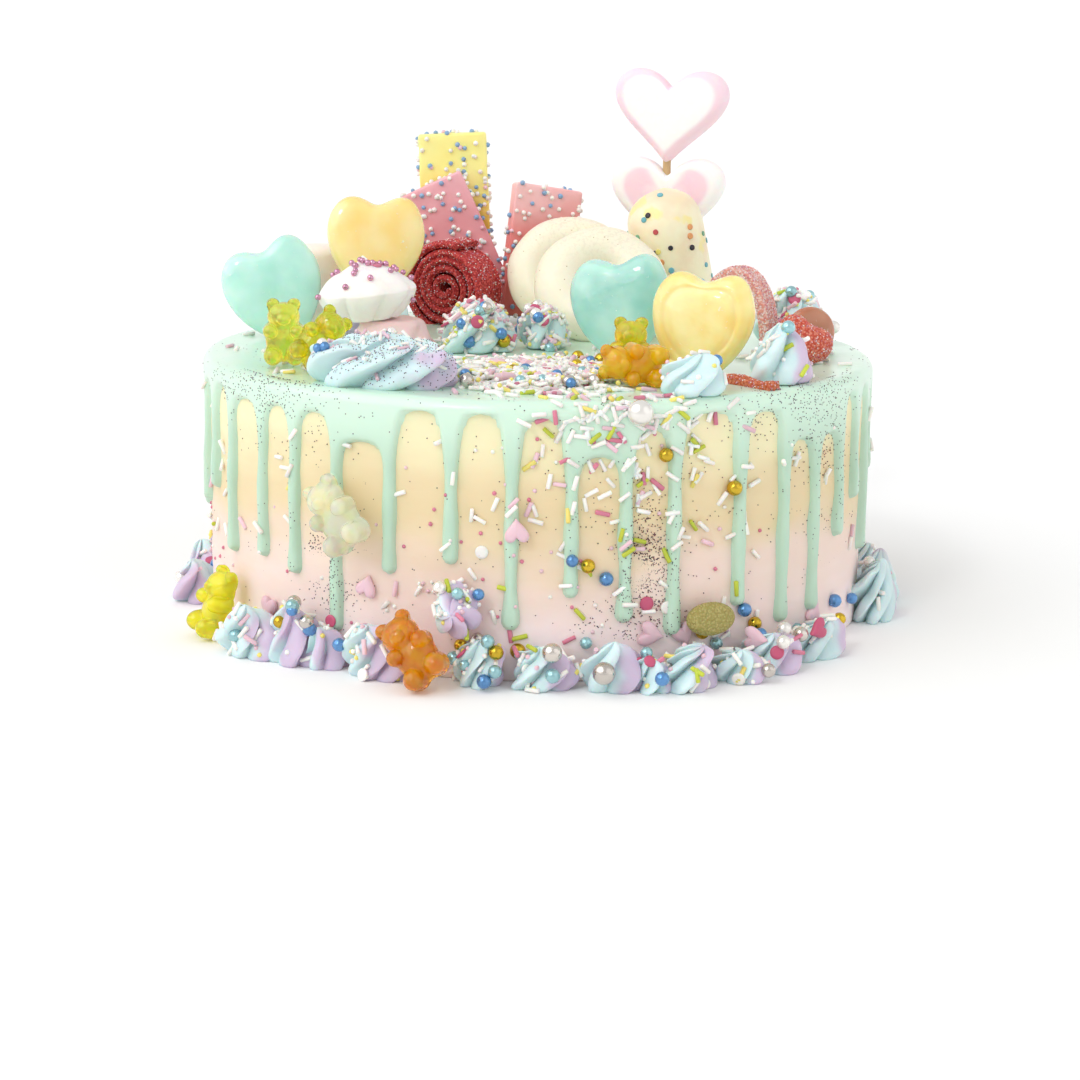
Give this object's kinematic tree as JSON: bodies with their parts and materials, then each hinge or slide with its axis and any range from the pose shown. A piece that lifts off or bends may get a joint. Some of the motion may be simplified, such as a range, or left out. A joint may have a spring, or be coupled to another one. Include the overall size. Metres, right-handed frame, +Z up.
{
  "type": "drip cake",
  "caption": "Round buttercream drip cake with a mint glaze, a piped border at its foot and a heap of sweets, piped rosettes and sprinkles on top.",
  "frame": {"origin": "centre of the cake's flat underside", "axes": "+Z up along the cake's axis, -Y towards the side that the picture shows, +X to its right"},
  "size_m": [0.2219, 0.2283, 0.1591],
  "materials": {
    "buttercream": "smooth spread buttercream, cream above and pink below",
    "glaze": "set mint glaze with a soft gloss",
    "piped_icing": "piped buttercream, two-tone turquoise and lilac, satin",
    "jelly_mint": "cloudy jelly, glossy",
    "jelly_yellow": "cloudy jelly, glossy",
    "gummy_green": "clear gummy, glossy",
    "gummy_orange": "clear gummy, glossy",
    "gummy_yellow": "clear gummy, glossy",
    "gummy_pale": "pale gummy, glossy",
    "meringue_pink": "smooth meringue, matt",
    "meringue_white": "piped meringue, matt",
    "chocolate_pink": "coloured chocolate, satin, with small sugar pearls",
    "chocolate_yellow": "coloured chocolate, satin, with small sugar pearls",
    "chocolate_white": "white chocolate coating, satin",
    "confetti_coating": "white chocolate coating with confetti sugar discs",
    "sour_red": "sugared sour belt, sparkling",
    "sour_orange": "sugared sour sweet, sparkling",
    "cola_jelly": "brown jelly, glossy",
    "olive_jelly": "sugared jelly, matt",
    "marshmallow_pink": "marshmallow, white face and pink rim, matt",
    "marshmallow_white": "marshmallow, pink face and white rim, matt",
    "marshmallow_peach": "marshmallow, matt",
    "wood": "plain birch, unfinished"
  },
  "bodies": {
    "root": {"bear_base_orange": "gummy_orange", "bear_base_yellow": "gummy_yellow", "bear_left_lying": "gummy_green", "bear_left_standing": "gummy_green", "bear_right_lying": "gummy_orange", "bear_right_standing": "gummy_green", "bear_side": "gummy_pale", "border_01": "piped_icing", "border_02": "piped_icing", "border_03": "piped_icing", "border_04": "piped_icing", "border_05": "piped_icing", "border_06": "piped_icing", "border_07": "piped_icing", "border_08": "piped_icing", "border_09": "piped_icing", "border_back_1": "piped_icing", "border_back_2": "piped_icing", "border_back_3": "piped_icing", "border_back_4": "piped_icing", "border_back_5": "piped_icing", "cake": "buttercream", "cola_disc": "cola_jelly", "confetti_stick": "confetti_coating", "doughnut_front": "chocolate_white", "doughnut_rear": "chocolate_white", "drip_glaze": "glaze", "heart_mint_left": "jelly_mint", "heart_mint_right": "jelly_mint", "heart_yellow_left": "jelly_yellow", "heart_yellow_right": "jelly_yellow", "jelly_olive": "olive_jelly", "marshmallow_lower": "marshmallow_white", "marshmallow_peach": "marshmallow_peach", "marshmallow_upper": "marshmallow_pink", "meringue_pink": "meringue_pink", "meringue_white": "meringue_white", "rosette_back_1": "piped_icing", "rosette_back_2": "piped_icing", "rosette_back_right": "piped_icing", "rosette_front_left": "piped_icing", "rosette_front_right": "piped_icing", "rosette_middle_left": "piped_icing", "rosette_middle_right": "piped_icing", "rosette_right": "piped_icing", "rosette_under_heart": "piped_icing", "side_rosette": "piped_icing", "skewer": "wood", "slab_pink_left": "chocolate_pink", "slab_pink_right": "chocolate_pink", "slab_yellow": "chocolate_yellow", "sour_arch": "sour_orange", "sour_roll": "sour_red", "sour_strip": "sour_orange", "sugared_berry": "sour_orange"}
  },
  "joints": []
}
